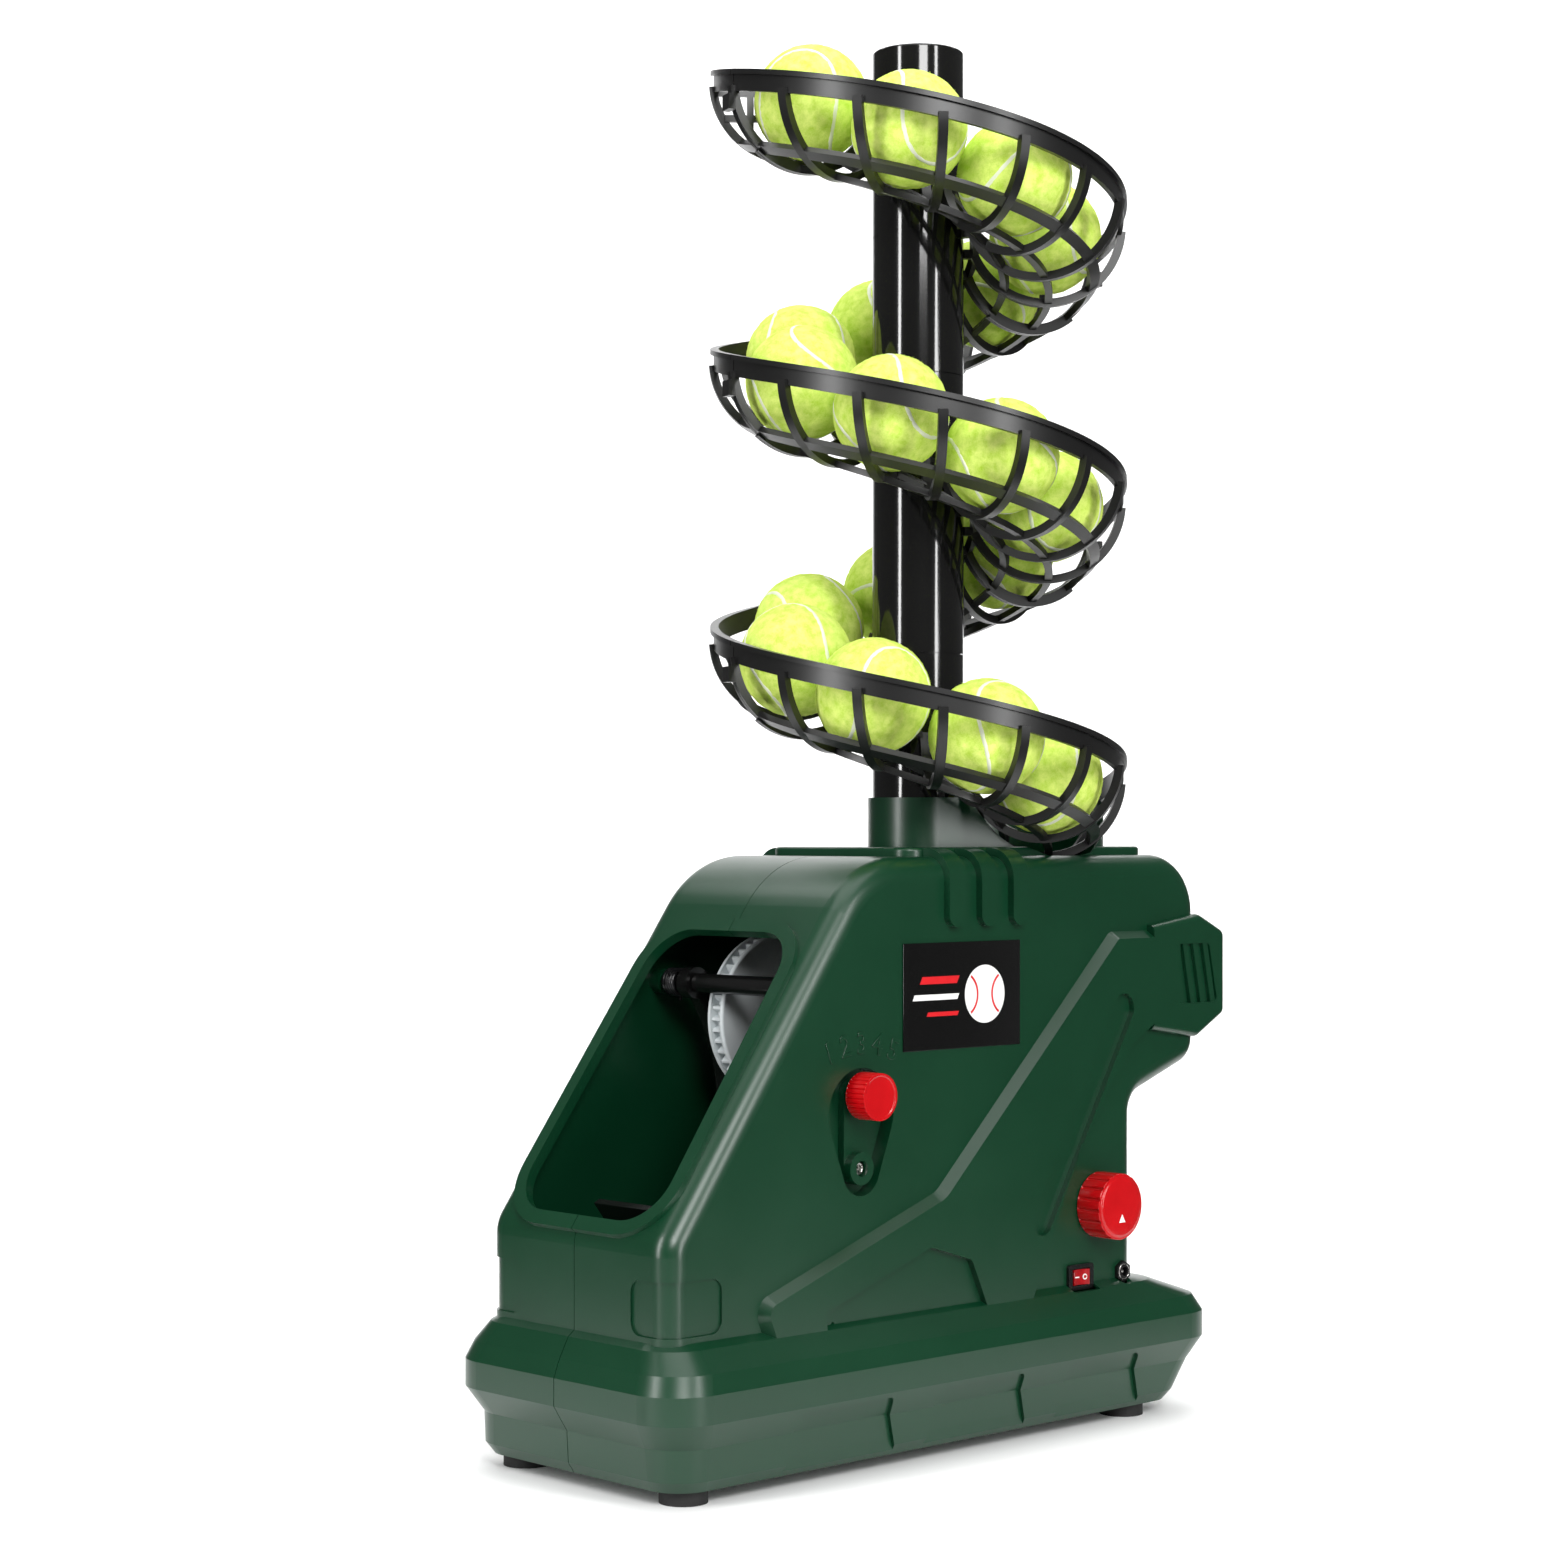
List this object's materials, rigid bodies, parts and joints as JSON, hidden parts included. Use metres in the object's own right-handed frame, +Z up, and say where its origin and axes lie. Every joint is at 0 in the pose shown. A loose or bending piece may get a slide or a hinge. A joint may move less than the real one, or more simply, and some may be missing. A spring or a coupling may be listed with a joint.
{
  "type": "tennis ball machine",
  "caption": "Tennis ball launcher: ribbed helical ball basket on a lift-off mast over a wedge-shaped moulded base with a launch window, aim lever, dial and rocker switch.",
  "frame": {"origin": "on the floor under the middle of the machine", "axes": "+Z up, the balls leave towards -Y, the controls face +X"},
  "size_m": [0.247, 0.465, 0.809],
  "materials": {
    "green_abs": "moulded ABS, semi-gloss",
    "black_pp": "moulded polypropylene, satin",
    "black_abs": "moulded ABS, satin",
    "rubber": "matt",
    "steel": "plated",
    "nylon": "moulded nylon",
    "red_abs": "moulded ABS, glossy",
    "electrics": "cells in a tray, glass-fibre board",
    "label": "printed film",
    "felt": "woven felt over rubber"
  },
  "bodies": {
    "base": {"shell_left": "green_abs", "shell_right": "green_abs", "hopper_collar": "green_abs", "launch_ramp": "black_abs", "ball_chute": "black_abs", "switch_bezel": "black_abs", "bar_sleeve": "black_abs", "jack_barrel": "black_abs", "rubber_feet": "rubber", "shell_screws": "steel", "arm_shaft": "steel", "gear_axle": "steel", "torsion_spring": "steel", "jack_nut": "steel", "gear_motor": "steel", "battery_pack": "electrics", "control_board": "electrics", "potentiometer": "electrics", "label_plate": "label"},
    "door": {"battery_door": "green_abs"},
    "tower": {"mast_core": "black_abs", "basket_top": "black_pp", "basket_1": "black_pp", "basket_2": "black_pp", "basket_3": "black_pp", "basket_4": "black_pp", "basket_5": "black_pp", "joint_clips": "black_pp", "balls_upper": "felt", "balls_middle": "felt", "balls_lower": "felt"},
    "arm": {"launch_arm": "black_abs"},
    "cam": {"cam_gear": "nylon"},
    "pinion": {"motor_pinion": "nylon"},
    "lever": {"angle_lever": "green_abs", "knob_pin": "steel"},
    "knob": {"angle_knob": "red_abs"},
    "dial": {"interval_dial": "red_abs"},
    "rocker": {"power_rocker": "red_abs"}
  },
  "joints": [
    {"name": "tower_lift", "type": "slide", "parent": "base", "child": "tower", "axis": [0, 0, 1], "range_m": [0, 0.09]},
    {"name": "arm_swing", "type": "hinge", "parent": "base", "child": "arm", "pos_m": [0, -0.0965, 0.263], "axis": [1, 0, 0], "range_deg": [0, 27], "stiffness_Nm_per_rad": 2, "springref_deg": -28.65},
    {"name": "cam_spin", "type": "hinge", "parent": "base", "child": "cam", "pos_m": [0, -0.0465, 0.243], "axis": [1, 0, 0], "continuous": true},
    {"name": "pinion_spin", "type": "hinge", "parent": "base", "child": "pinion", "pos_m": [0, 0.00612, 0.22385], "axis": [1, 0, 0], "continuous": true},
    {"name": "lever_aim", "type": "hinge", "parent": "base", "child": "lever", "pos_m": [0, -0.0775, 0.165], "axis": [1, 0, 0], "range_deg": [-20, 20]},
    {"name": "knob_pull", "type": "slide", "parent": "lever", "child": "knob", "axis": [1, 0, 0], "range_m": [0, 0.004], "stiffness_N_per_m": 300, "springref_m": -0.002},
    {"name": "dial_turn", "type": "hinge", "parent": "base", "child": "dial", "pos_m": [0, 0.1195, 0.129], "axis": [1, 0, 0], "range_deg": [0, 270]},
    {"name": "rocker_press", "type": "hinge", "parent": "base", "child": "rocker", "pos_m": [0.07, 0.1025, 0.088], "axis": [0, 0, 1], "range_deg": [0, 14]},
    {"name": "door_drop", "type": "hinge", "parent": "base", "child": "door", "pos_m": [0, 0.153, 0.0995], "axis": [-1, 0, 0], "range_deg": [0, 85]}
  ],
  "couplings": [
    {"joint": "pinion_spin", "follows": "cam_spin", "ratio": -3.6667}
  ]
}
